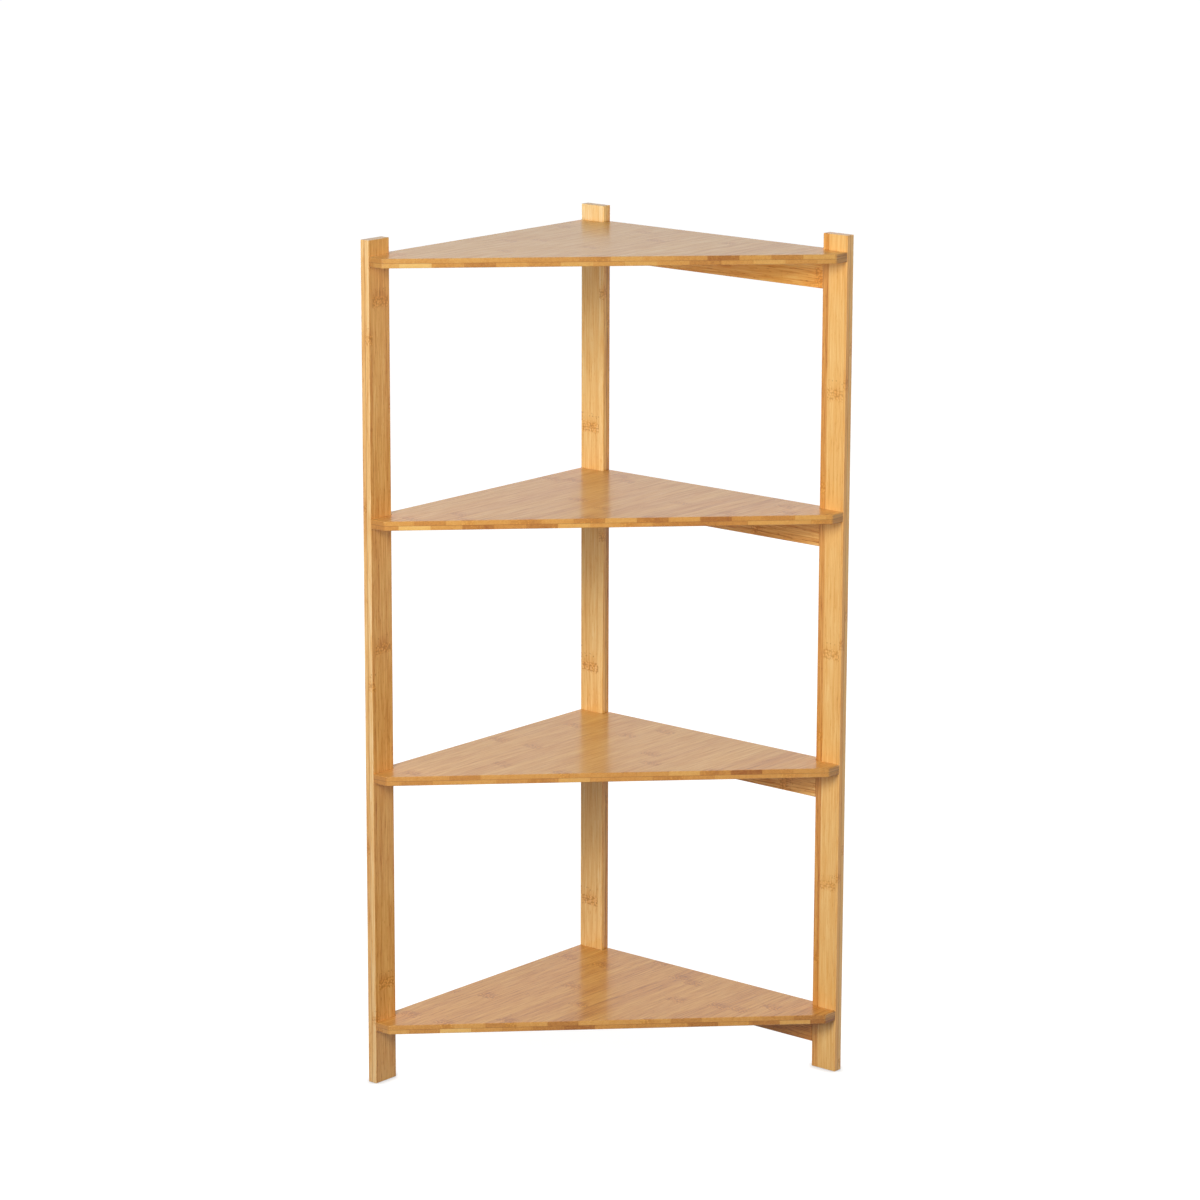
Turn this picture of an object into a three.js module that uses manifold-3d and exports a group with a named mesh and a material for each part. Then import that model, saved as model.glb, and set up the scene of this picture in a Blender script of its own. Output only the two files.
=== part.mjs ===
// A four-tier corner shelf unit in flat-pressed bamboo board. Millimetres, +Z up.
//
// The unit stands where two walls meet. The right-hand wall is the plane of greatest Y and the
// left-hand wall the plane of least X, so the open front faces +X and -Y. The origin lies on the
// floor under the middle of the shelves' front edges, at the centre of the unit's square footprint.
//
// Two posts and four rails form a ladder along the right-hand wall. A third post stands alone at the
// left-hand wall. Each shelf is a notched triangle that rests on its rail and is screwed to all posts.

import * as THREE from "three";
import { mergeVertices } from "three/addons/utils/BufferGeometryUtils.js";
import Module from "manifold-3d";

const wasm = await Module();
wasm.setup();

// The whole unit
const unitHeight = 870; // floor to the top of the posts
const legLength = 345; // along each wall, from the corner to the outer end
const topOverhang = 16.5; // how far the posts stand above the top shelf
const bottomShelfTop = 66; // floor to the upper face of the lowest shelf
const tierNames = ["bottom", "lower", "upper", "top"];

// Posts, flat against the walls
const postWidth = 30;
const postThickness = 10.5;
const arrisRadius = 1.2; // softened long edges of posts and rails
const postEndEase = 0.75; // softened ends of the posts

// Rails, on edge under the shelves, flush with the posts on both faces
const railHeight = 30;
const glueLine = 0.2; // between a rail's end and the post

// Shelves
const shelfThickness = 9.5;
const shelfEase = 0.75; // softened upper and lower edges
const tipWidth = 17.5; // flat end of each tip, beyond the post
const tipRadius = 4; // between that end and the front edge
const tipHeelRadius = 1; // between that end and the post
const notchClearance = 1; // beside a post, where the notch is wider than the post

// Dowels that join the rails to the posts
const dowelRadius = 3;
const dowelLength = 28; // half in the rail, half in the post
const dowelChamfer = 1;
const dowelEdgeDistance = 8; // from the rail's upper and lower edges to the dowels
const dowelClearance = 0.3; // all round, filled with glue
const dowelEndRoom = 1; // at the bottom of each hole

// Countersunk wood screws that hold the shelves to the posts
const screwLength = 25;
const screwShankRadius = 1.75;
const screwHeadRadius = 3.5;
const screwHeadRim = 0.4; // straight rim above the cone
const screwPointLength = 4;
const screwPointRadius = 0.4;
const screwEdgeDistance = 8; // from the post's two long edges to the screws
const screwHeadSink = 0.3; // head below the face of the post
const screwClearance = 0.3; // all round
const screwPilotRoom = 1; // beyond the point

const cutOverrun = 2; // how far a cutting shape passes the face that it enters

// Facets
const roundSides = 12;
const cornerSteps = 4;
const arrisSteps = 2;
const easeSteps = 1;

// Places that follow from the sizes
const leftWallX = -legLength / 2;
const rightWallY = legLength / 2;
const rightEndX = legLength / 2;
const leftEndY = -legLength / 2;
const leftInnerX = leftWallX + postThickness;
const rightInnerY = rightWallY - postThickness;
const topShelfTop = unitHeight - topOverhang;
const shelfPitch = (topShelfTop - bottomShelfTop) / (tierNames.length - 1);
const tiers = tierNames.map((name, i) => ({
  name,
  shelfBottom: bottomShelfTop + i * shelfPitch - shelfThickness,
}));

// A post is placed by its inner vertical edge. From there it runs its width along the wall and its
// thickness out to the wall.
const postPlaces = [
  {
    name: "back",
    corner: new THREE.Vector2(leftWallX + postWidth, rightInnerY),
    along: new THREE.Vector2(-1, 0),
    out: new THREE.Vector2(0, 1),
  },
  {
    name: "right",
    corner: new THREE.Vector2(rightEndX - postWidth, rightInnerY),
    along: new THREE.Vector2(1, 0),
    out: new THREE.Vector2(0, 1),
  },
  {
    name: "left",
    corner: new THREE.Vector2(leftInnerX, leftEndY + postWidth),
    along: new THREE.Vector2(0, -1),
    out: new THREE.Vector2(-1, 0),
  },
];
const ladderPosts = postPlaces.filter((place) => place.name !== "left");

// Materials

function lacqueredBamboo(color) {
  return new THREE.MeshStandardMaterial({ color, roughness: 0.38, metalness: 0 });
}

const finishes = {
  post: () => lacqueredBamboo(0xd9a763),
  rail: () => lacqueredBamboo(0xcf9a55),
  shelf: () => lacqueredBamboo(0xd3a069),
  dowel: () => new THREE.MeshStandardMaterial({ color: 0xd8b988, roughness: 0.8, metalness: 0 }),
  screw: () => new THREE.MeshStandardMaterial({ color: 0xb9b4a4, roughness: 0.35, metalness: 1 }),
};

// Shapes

// A closed outline through corners that are each [point, radius], with an arc in each corner that has
// a radius. An arc starts and ends where its circle touches the two sides.
function roundedOutline(corners, steps) {
  const points = [];
  corners.forEach(([corner, radius], i) => {
    if (radius === 0) {
      points.push(corner);
      return;
    }
    const [before] = corners.at(i - 1);
    const [after] = corners[(i + 1) % corners.length];
    const back = before.clone().sub(corner).normalize();
    const onward = after.clone().sub(corner).normalize();
    const halfAngle = Math.acos(back.dot(onward)) / 2;
    const middle = back.clone().add(onward).normalize();
    const centre = corner.clone().addScaledVector(middle, radius / Math.sin(halfAngle));
    const start = corner.clone().addScaledVector(back, radius / Math.tan(halfAngle));
    const sweep = Math.sign(onward.cross(back)) * (Math.PI - 2 * halfAngle);
    for (let step = 0; step <= steps; step += 1) {
      points.push(start.clone().rotateAround(centre, (sweep * step) / steps));
    }
  });
  return new THREE.Shape(points);
}

// The outline pulled up from z = 0 to z = height, with its two rims softened by ease.
function easedPrism(shape, height, ease) {
  const geometry = new THREE.ExtrudeGeometry(shape, {
    depth: height - 2 * ease,
    bevelThickness: ease,
    bevelSize: ease,
    bevelOffset: -ease,
    bevelSegments: easeSteps,
  });
  return geometry.translate(0, 0, ease);
}

// A solid turned about the Y axis from [radius, y] points that run from the axis back to the axis.
function turned(profile) {
  const points = profile.map(([radius, y]) => new THREE.Vector2(radius, y));
  return new THREE.LatheGeometry(points.reverse(), roundSides);
}

function toSolid(geometry) {
  const bare = geometry.clone();
  bare.deleteAttribute("normal");
  bare.deleteAttribute("uv");
  const merged = mergeVertices(bare);
  return new wasm.Manifold(
    new wasm.Mesh({
      numProp: 3,
      vertProperties: merged.attributes.position.array,
      triVerts: new Uint32Array(merged.index.array),
    }),
  );
}

function toGeometry(solid) {
  const { vertProperties, triVerts } = solid.getMesh();
  const geometry = new THREE.BufferGeometry();
  geometry.setAttribute("position", new THREE.BufferAttribute(vertProperties, 3));
  geometry.setIndex(new THREE.BufferAttribute(triVerts, 1));
  const flat = geometry.toNonIndexed();
  flat.computeVertexNormals();
  return flat;
}

// The board's geometry less every cutter. The cutters are in the unit's frame and the board in its own,
// which lies at origin.
function cut(geometry, origin, cutters) {
  const holes = cutters.map((cutter) => {
    const local = cutter.clone().translate(-origin.x, -origin.y, -origin.z);
    return toSolid(local);
  });
  const solid = holes.reduce((whole, hole) => whole.subtract(hole), toSolid(geometry));
  return toGeometry(solid);
}

const unit = new THREE.Group();

function addPiece(name, geometry, finish, origin, turn = 0) {
  const mesh = new THREE.Mesh(geometry, finishes[finish]());
  mesh.name = name;
  mesh.position.copy(origin);
  mesh.rotation.z = turn;
  unit.add(mesh);
}

// Screws: the head lies at y = 0 and the point at negative y.

const coneBottom = screwHeadRim + screwHeadRadius - screwShankRadius;

function screwGeometry() {
  return turned([
    [0, 0],
    [screwHeadRadius, 0],
    [screwHeadRadius, -screwHeadRim],
    [screwShankRadius, -coneBottom],
    [screwShankRadius, screwPointLength - screwLength],
    [screwPointRadius, -screwLength],
    [0, -screwLength],
  ]);
}

// The countersunk hole and pilot hole that the screw lies in, in one shape.
function screwHoleGeometry() {
  const mouth = screwHeadSink + cutOverrun;
  const bottom = -screwLength - screwPilotRoom;
  return turned([
    [0, mouth],
    [screwHeadRadius + screwClearance, mouth],
    [screwHeadRadius + screwClearance, -screwHeadRim],
    [screwShankRadius + screwClearance, -coneBottom],
    [screwShankRadius + screwClearance, bottom],
    [0, bottom],
  ]);
}

// Each screw's post, tier, place and turn. It is driven from the wall side at the middle of the shelf's
// thickness, near both long edges of the post.
const screws = postPlaces.flatMap((place) =>
  tiers.flatMap((tier) =>
    [
      ["inner", screwEdgeDistance],
      ["outer", postWidth - screwEdgeDistance],
    ].map(([side, distance]) => {
      const plan = place.corner
        .clone()
        .addScaledVector(place.along, distance)
        .addScaledVector(place.out, postThickness - screwHeadSink);
      return {
        name: `${tier.name}_shelf_${place.name}_screw_${side}`,
        post: place.name,
        tier: tier.name,
        origin: new THREE.Vector3(plan.x, plan.y, tier.shelfBottom + shelfThickness / 2),
        turn: place.out.angle() - Math.PI / 2,
      };
    }),
  ),
);

// Dowels: they lie across the joint between a rail's end and the post, with their middle on the joint.

function dowelGeometry(clearance, endRoom, chamfer) {
  const radius = dowelRadius + clearance;
  const half = dowelLength / 2 + endRoom;
  return turned([
    [0, half],
    [radius - chamfer, half],
    [radius, half - chamfer],
    [radius, chamfer - half],
    [radius - chamfer, -half],
    [0, -half],
  ]);
}

const dowels = ladderPosts.flatMap((place) =>
  tiers.flatMap((tier) =>
    [
      ["upper", dowelEdgeDistance],
      ["lower", railHeight - dowelEdgeDistance],
    ].map(([side, drop]) => ({
      name: `${tier.name}_rail_${place.name}_dowel_${side}`,
      post: place.name,
      tier: tier.name,
      origin: new THREE.Vector3(
        place.corner.x,
        rightInnerY + postThickness / 2,
        tier.shelfBottom - drop,
      ),
      turn: Math.PI / 2,
    })),
  ),
);

// The holes for those fasteners that match, moved to where the fasteners are.
function holesFor(fasteners, holeGeometry, matches) {
  return fasteners.filter(matches).map(({ origin, turn }) => {
    return holeGeometry.clone().rotateZ(turn).translate(origin.x, origin.y, origin.z);
  });
}

const screwHole = screwHoleGeometry();
const dowelHole = dowelGeometry(dowelClearance, dowelEndRoom, dowelChamfer);

// Posts

for (const place of postPlaces) {
  const { name, corner, along, out } = place;
  const origin = new THREE.Vector3(corner.x, corner.y, 0);
  const inner = new THREE.Vector2(0, 0);
  const outer = along.clone().multiplyScalar(postWidth);
  const toWall = out.clone().multiplyScalar(postThickness);
  const section = roundedOutline(
    [
      [inner, arrisRadius],
      [outer, arrisRadius],
      [outer.clone().add(toWall), arrisRadius],
      [toWall, arrisRadius],
    ],
    arrisSteps,
  );
  const holes = [
    ...holesFor(screws, screwHole, (screw) => screw.post === name),
    ...holesFor(dowels, dowelHole, (dowel) => dowel.post === name),
  ];
  addPiece(
    `${name}_post`,
    cut(easedPrism(section, unitHeight, postEndEase), origin, holes),
    "post",
    origin,
  );
}

// Rails: the section is drawn with its X axis pointing down and is then turned to run along X.

const [backPost, rightPost] = ladderPosts;
const railStartX = backPost.corner.x + glueLine;
const railLength = rightPost.corner.x - glueLine - railStartX;
const railSection = roundedOutline(
  [
    [new THREE.Vector2(0, 0), arrisRadius],
    [new THREE.Vector2(railHeight, 0), arrisRadius],
    [new THREE.Vector2(railHeight, postThickness), arrisRadius],
    [new THREE.Vector2(0, postThickness), arrisRadius],
  ],
  arrisSteps,
);

for (const tier of tiers) {
  const origin = new THREE.Vector3(railStartX, rightInnerY, tier.shelfBottom);
  const bar = new THREE.ExtrudeGeometry(railSection, { depth: railLength, bevelEnabled: false });
  bar.rotateY(Math.PI / 2);
  const holes = holesFor(dowels, dowelHole, (dowel) => dowel.tier === tier.name);
  addPiece(`${tier.name}_rail`, cut(bar, origin, holes), "rail", origin);
}

// Shelves: drawn from the point where the inner planes of the posts cross, so that the bottoms of the
// notches lie on the two axes. The sides run along the walls, round the notches, and meet the straight
// front edge at the rounded tips.

const shelfReach = legLength - postThickness;
const notchWidth = postWidth + notchClearance;
const shelfCorners = [
  [-postThickness, 0, 0],
  [notchWidth - postThickness, 0, 0],
  [notchWidth - postThickness, postThickness, 0],
  [shelfReach - notchWidth, postThickness, 0],
  [shelfReach - notchWidth, 0, 0],
  [shelfReach, 0, tipHeelRadius],
  [shelfReach, -tipWidth, tipRadius],
  [tipWidth, -shelfReach, tipRadius],
  [0, -shelfReach, tipHeelRadius],
  [0, notchWidth - shelfReach, 0],
  [-postThickness, notchWidth - shelfReach, 0],
];
const shelfOutline = roundedOutline(
  shelfCorners.map(([x, y, radius]) => [new THREE.Vector2(x, y), radius]),
  cornerSteps,
);

for (const tier of tiers) {
  const origin = new THREE.Vector3(leftInnerX, rightInnerY, tier.shelfBottom);
  const panel = easedPrism(shelfOutline, shelfThickness, shelfEase);
  const holes = holesFor(screws, screwHole, (screw) => screw.tier === tier.name);
  addPiece(`${tier.name}_shelf`, cut(panel, origin, holes), "shelf", origin);
}

// Fasteners

for (const { name, origin, turn } of screws) {
  addPiece(name, screwGeometry(), "screw", origin, turn);
}
for (const { name, origin, turn } of dowels) {
  addPiece(name, dowelGeometry(0, 0, dowelChamfer), "dowel", origin, turn);
}

export default unit;
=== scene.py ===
# %% [markdown]
# # A corner shelf unit in pressed bamboo
#
# The unit has three flat posts, four rails and four triangular shelves. All are cut from board that is
# pressed from flat bamboo strips, two layers thick, and finished with clear gloss lacquer. The packed
# model gives every board its real size and place. This lesson dresses each board in a finer mesh and
# in a finish that knows where its strips, glue lines and knuckles are.

# %% The frame
import math

import bpy
import numpy as np
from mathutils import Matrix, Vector


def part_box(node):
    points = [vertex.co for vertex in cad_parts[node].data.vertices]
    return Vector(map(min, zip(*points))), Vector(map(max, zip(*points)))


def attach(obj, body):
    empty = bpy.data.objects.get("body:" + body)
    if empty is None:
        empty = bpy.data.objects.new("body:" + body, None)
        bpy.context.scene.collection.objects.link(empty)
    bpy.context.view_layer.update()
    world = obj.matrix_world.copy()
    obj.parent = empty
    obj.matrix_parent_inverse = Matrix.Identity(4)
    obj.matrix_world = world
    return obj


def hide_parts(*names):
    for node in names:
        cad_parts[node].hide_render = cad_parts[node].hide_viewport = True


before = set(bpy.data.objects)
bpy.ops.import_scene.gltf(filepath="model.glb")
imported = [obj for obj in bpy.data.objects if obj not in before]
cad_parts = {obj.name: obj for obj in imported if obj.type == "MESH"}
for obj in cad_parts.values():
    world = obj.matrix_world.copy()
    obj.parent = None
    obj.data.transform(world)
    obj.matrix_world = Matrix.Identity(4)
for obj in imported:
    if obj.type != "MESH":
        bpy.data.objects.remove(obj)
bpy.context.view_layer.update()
scene = bpy.context.scene

MM = 0.001
TIERS = ("bottom", "lower", "upper", "top")
POSTS = ("back", "right", "left")

print("boards and fasteners in the frame:", len(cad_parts))

# %% [markdown]
# ## Camera
#
# A product photograph is taken from a few metres away with a long lens, so that upright lines stay
# nearly parallel. The camera is given by the direction that it looks from, its distance, and the point
# that it looks at. It has no shift, so that views from other sides stay centred too.

# %% Camera
IMAGE_WIDTH = 1200
FOCAL_LENGTH = 4354.8  # in image widths of 1200
SENSOR = 36.0
AZIMUTH = math.radians(40.14)
ELEVATION = math.radians(13.226)
ROLL = math.radians(0.15)
DISTANCE = 4387 * MM
AIM_HEIGHT = 435 * MM
AIM_RIGHT = -7.1 * MM
AIM_UP = 66.1 * MM
NEAREST_SEEN = 0.1
FARTHEST_SEEN = 100.0


def camera_axes():
    """Right, up and backward directions: azimuth turns about Z, elevation lifts, roll tilts the frame."""
    back = Vector((
        math.sin(AZIMUTH) * math.cos(ELEVATION),
        -math.cos(AZIMUTH) * math.cos(ELEVATION),
        math.sin(ELEVATION),
    ))
    level = Vector((math.cos(AZIMUTH), math.sin(AZIMUTH), 0))
    upright = back.cross(level)
    right = level * math.cos(ROLL) + upright * math.sin(ROLL)
    return right, back.cross(right), back


def place_camera():
    """The camera stands one distance back from the point that it aims at, along its backward direction."""
    right, up, back = camera_axes()
    data = bpy.data.cameras.new("camera")
    data.sensor_width = SENSOR
    data.lens = FOCAL_LENGTH / IMAGE_WIDTH * SENSOR
    data.clip_start = NEAREST_SEEN
    data.clip_end = FARTHEST_SEEN
    camera = bpy.data.objects.new("camera", data)
    scene.collection.objects.link(camera)
    aim = Vector((0, 0, AIM_HEIGHT)) + AIM_RIGHT * right + AIM_UP * up
    turn = camera.matrix_world.copy()
    for i, axis in enumerate((right, up, back, aim + DISTANCE * back)):
        turn.col[i][:3] = axis
    camera.matrix_world = turn
    scene.camera = camera
    return camera


camera = place_camera()
print("lens in mm:", round(camera.data.lens, 2), "at", [round(v, 3) for v in camera.location])

# %% [markdown]
# ## Writing a finish as sums
#
# A finish is a web of nodes. It could be drawn by hand, but a board finish has dozens of them, so a
# small helper writes them as sums: each call adds one node and returns the socket of its result.


# %% A helper for shader nodes
class Web:
    """A node tree that is written as sums. Numbers are set on sockets, and sockets are linked."""

    def __init__(self, tree):
        self.tree = tree

    def node(self, kind, inputs, **settings):
        """A node of a kind, with its settings, and with its inputs by name or number."""
        made = self.tree.nodes.new(kind)
        for name, value in settings.items():
            setattr(made, name, value)
        for key, value in inputs.items():
            if isinstance(value, bpy.types.NodeSocket):
                self.tree.links.new(value, made.inputs[key])
            else:
                made.inputs[key].default_value = value
        return made

    def sum(self, operation, *values):
        """One step of arithmetic."""
        return self.node("ShaderNodeMath", dict(enumerate(values)), operation=operation).outputs[0]

    def vector(self, *values):
        """Three numbers as a point."""
        return self.node("ShaderNodeCombineXYZ", dict(enumerate(values))).outputs[0]

    def parts(self, vector):
        """A point or a colour as three numbers."""
        return self.node("ShaderNodeSeparateXYZ", {0: vector}).outputs

    def fade(self, value, start, end, low=0.0, high=1.0, step="SMOOTHSTEP"):
        """Low before start, high after end, and a smooth step between them."""
        inputs = {"Value": value, "From Min": start, "From Max": end, "To Min": low, "To Max": high}
        return self.node("ShaderNodeMapRange", inputs, interpolation_type=step).outputs[0]

    def line(self, value, start, end, low, high):
        """A straight line from low at start to high at end, held level beyond both."""
        return self.fade(value, start, end, low, high, "LINEAR")

    def noise(self, place, detail=2.0, rough=0.5):
        """Noise of unit size at a place, from about 0.2 to 0.8."""
        inputs = {"Vector": place, "Scale": 1.0, "Detail": detail, "Roughness": rough}
        return self.node("ShaderNodeTexNoise", inputs).outputs[0]

    def mix(self, share, first, second, blend="MIX"):
        """The first colour less its share, plus the share of the second blended with it."""
        inputs = {0: share, 6: first, 7: second}
        return self.node("ShaderNodeMix", inputs, data_type="RGBA", blend_type=blend).outputs[2]

    def ramp(self, value, stops, interpolation="LINEAR"):
        """A row of (place, colour) stops, read at value."""
        made = self.node("ShaderNodeValToRGB", {0: value})
        made.color_ramp.interpolation = interpolation
        stop = made.color_ramp.elements
        while len(stop) > 1:
            stop.remove(stop[-1])
        for i, (place, colour) in enumerate(stops):
            element = stop[0] if i == 0 else stop.new(place)
            element.position = place
            element.color = (*colour, 1.0)
        return made.outputs[0]

    def bump(self, height, strength, depth):
        """A surface direction that leans with the slope of a height, which is depth metres for 1."""
        inputs = {"Height": height, "Strength": strength, "Distance": depth}
        return self.node("ShaderNodeBump", inputs).outputs[0]

    def deliver(self, shader, kind="ShaderNodeOutputMaterial"):
        """Gives a shader to the tree's output."""
        self.tree.links.new(shader.outputs[0], self.node(kind, {}).inputs[0])


print("what a web can add:", [name for name in vars(Web) if not name.startswith("_")])


# %% Finishes and colours
def empty_web(owner):
    """A web on the emptied node tree of a material or of the world."""
    owner.use_nodes = True
    owner.node_tree.nodes.clear()
    return Web(owner.node_tree)


def new_finish(name):
    """A new material, and its empty web."""
    material = bpy.data.materials.new(name)
    return material, empty_web(material)


def object_place(web):
    """A point's place on the object, in metres."""
    return web.node("ShaderNodeTexCoord", {}).outputs["Object"]


def linear(red, green, blue):
    """A colour written as 0 to 255 screen values, as the linear light that shaders work in."""
    share = np.array([red, green, blue]) / 255
    light = np.where(share <= 0.04045, share / 12.92, ((share + 0.055) / 1.055) ** 2.4)
    return tuple(float(v) for v in light)


print("a mid grey of 128 is linear", round(linear(128, 128, 128)[0], 3))

# %% [markdown]
# ## The fibres of one strip
#
# A bamboo strip is a bundle of straight fibres. They show as fine lines, broader streaks and short dark
# dashes, all long along the strip and narrow across it. A picture of them could be wrapped round each
# board, but then faces, edges and cut ends wouldn't agree. So the wood is a solid pattern: it depends
# on how far a point lies along the fibres, across the strip and through the board, in millimetres.

# %% Noise along the fibres, each with its length and width
FINE_FIBRE = (36.0, 1.2)
STREAK = (160.0, 2.6)
BROAD_STREAK = (300.0, 9.0)
BLOTCH = (60.0, 8.0)
FIBRE_DEPTHS = (0.62, 0.42, 0.16, 0.1)
DASH = (7.0, 0.8)
DASH_STARTS = 0.6
DASH_IS_FULL = 0.72
DASH_DEPTH = 0.14


def stretched_place(web, along, sideways, through, size):
    """The point (along / length, sideways / width, through / width), for a pattern of unit size."""
    length, width = size
    return web.vector(
        web.sum("DIVIDE", along, length),
        web.sum("DIVIDE", sideways, width),
        web.sum("DIVIDE", through, width),
    )


def stretched(web, along, sideways, through, size, detail=2.0):
    """Noise that is long along the fibres and narrow across them."""
    return web.noise(stretched_place(web, along, sideways, through, size), detail)


def fibre_pattern(web, along, pushed, across, through):
    """How much lighter or darker the fibres make the wood, the finest fibres alone, and the dashes.

    The first is the sum of four noises, each less a half and times its depth, minus the dashes times
    theirs. A dash is a place where a short narrow noise is high.
    """
    fine = stretched(web, along, pushed, through, FINE_FIBRE, 1.0)
    streak = stretched(web, along, pushed, through, STREAK)
    broad = stretched(web, along, pushed, through, BROAD_STREAK)
    blotch = stretched(web, along, across, through, BLOTCH)
    dash = web.fade(stretched(web, along, pushed, through, DASH, 1.0), DASH_STARTS, DASH_IS_FULL)
    fibres = web.sum("MULTIPLY", dash, -DASH_DEPTH)
    for part, depth in zip((fine, streak, broad, blotch), FIBRE_DEPTHS):
        fibres = web.sum("MULTIPLY_ADD", web.sum("SUBTRACT", part, 0.5), depth, fibres)
    return fibres, fine, dash


print("noises in the fibres:", len(FIBRE_DEPTHS), "and the dashes")

# %% [markdown]
# ## The knuckles of one strip
#
# A cane is closed off by a wall every quarter metre or so, and the wall leaves a knuckle. There the
# fibres swirl and part into bundles, cut across: a band of small light cells with brown walls, with a
# stain round it and a few dots beyond. Painting each dot would take long and fit one board only. A
# Voronoi pattern fills space with such cells and tells how far a point lies from the nearest centre.

# %% Knuckle bands: place along the strip, half height, and the share of that which shows fully
CELL_BAND = (0.0, 6.5, 0.6)
DOT_BAND = (12.0, 3.0, 0.4)
STAIN_BAND = (4.0, 11.0, 0.1)
STAIN_DEPTH = 0.13
STAIN_MIDDLE = (0.2, 1.1)
KNUCKLE_ARC = 0.8
RAGGED = (3.0, 3.0)
RAGGED_PUSH = 7.0


def knuckle_band(web, bent, band):
    """1 inside a band across the strip, falling softly to 0 over the outer part of its half height."""
    centre, half, full = band
    away = web.sum("ABSOLUTE", web.sum("SUBTRACT", bent, centre))
    return web.fade(away, half * full, half, 1, 0)


def bent_bands(web, along, across, through, to_knuckle, share):
    """The bands of cells and of dots, and the stain.

    A band bends with the square of the distance from the strip's middle, and noise makes it ragged.
    The stain fades away from the strip's middle too.
    """
    middle = web.sum("MULTIPLY_ADD", share, 2.0, -1.0)
    beside = web.sum("MULTIPLY", middle, middle)
    arc = web.sum("MULTIPLY", beside, KNUCKLE_ARC)
    ragged = web.sum("SUBTRACT", stretched(web, along, across, through, RAGGED), 0.5)
    ragged = web.sum("MULTIPLY", ragged, RAGGED_PUSH)
    bent = web.sum("ADD", web.sum("ADD", to_knuckle, arc), ragged)
    stain = web.sum("MULTIPLY", knuckle_band(web, bent, STAIN_BAND), web.fade(beside, *STAIN_MIDDLE, 1, 0))
    return knuckle_band(web, bent, CELL_BAND), knuckle_band(web, bent, DOT_BAND), stain


# %% Knuckle cells: their length and width, and how far from a centre each part begins and is full
CELL = (2.7, 2.3)
CELL_DISORDER = 0.7
BUNDLE_PUSH = 2.0
WALLS = (0.4, 0.65)
HEARTS = (0.35, 0.1)
HEART_LIGHT = 0.34
DOTS = (0.45, 0.2)
DOTS_PICKED = (0.5, 0.6)


def knuckle_cells(web, along, bundles, through, cell_band, dot_band):
    """The light hearts of the cells, and the brown of their walls and of the dots.

    A heart is near a cell's centre and a wall is far from it, both inside the band of cells. In the
    band of dots, the centres of about half of the cells are brown, picked by the cell's own number.
    """
    place = stretched_place(web, along, bundles, through, CELL)
    cells = web.node("ShaderNodeTexVoronoi", {"Vector": place, "Scale": 1.0, "Randomness": CELL_DISORDER})
    away = cells.outputs["Distance"]
    number = web.parts(cells.outputs["Color"])[0]
    hearts = web.sum("MULTIPLY", web.fade(away, *HEARTS), cell_band)
    walls = web.sum("MULTIPLY", web.fade(away, *WALLS), cell_band)
    sparse = web.sum("MULTIPLY", web.fade(number, *DOTS_PICKED), web.fade(away, *DOTS))
    return hearts, web.sum("MAXIMUM", walls, web.sum("MULTIPLY", sparse, dot_band))


print("knuckle height in mm:", 2 * CELL_BAND[1], "cells across a 20 mm strip:", round(20 / CELL[1], 1))

# %% [markdown]
# ## One group for all strips
#
# Fibres and knuckles go into one node group, and every board uses that group. A board only says where
# a point lies on a strip, which tone and seed the strip has, and how far away its nearest knuckle is.

# %% Wood colours
WOOD_SHADES = (
    (0.0, linear(155, 88, 24)),
    (0.25, linear(206, 140, 64)),
    (0.5, linear(230, 175, 96)),
    (0.75, linear(241, 200, 130)),
    (1.0, linear(249, 222, 170)),
)
KNUCKLE_GOLD = linear(228, 156, 62)
GOLD_SHARE = 0.4
KNUCKLE_BROWN = linear(168, 104, 34)
BROWN_SHARE = 0.64
print("shades from dark to light:", len(WOOD_SHADES))

# %% The strip group
SEED_STEP = 700.0
SWIRL = (9.0, 4.0)
SWIRL_REACH = 12.0
SWIRL_PUSH = 7.0
WANDER = (150.0, 30.0)
WANDER_PUSH = 6.0
FIBRE_RISE = 0.6
DASH_SINKS = 0.5
BROWN_SINKS = 0.8
STRIP_INPUTS = ("Along", "Across", "Through", "Seed", "Tone", "Knuckle distance", "Across share",
                "Boldness", "Liveliness")
STRIP_OUTPUTS = {"Colour": "NodeSocketColor", "Height": "NodeSocketFloat", "Grain": "NodeSocketFloat"}


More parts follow.
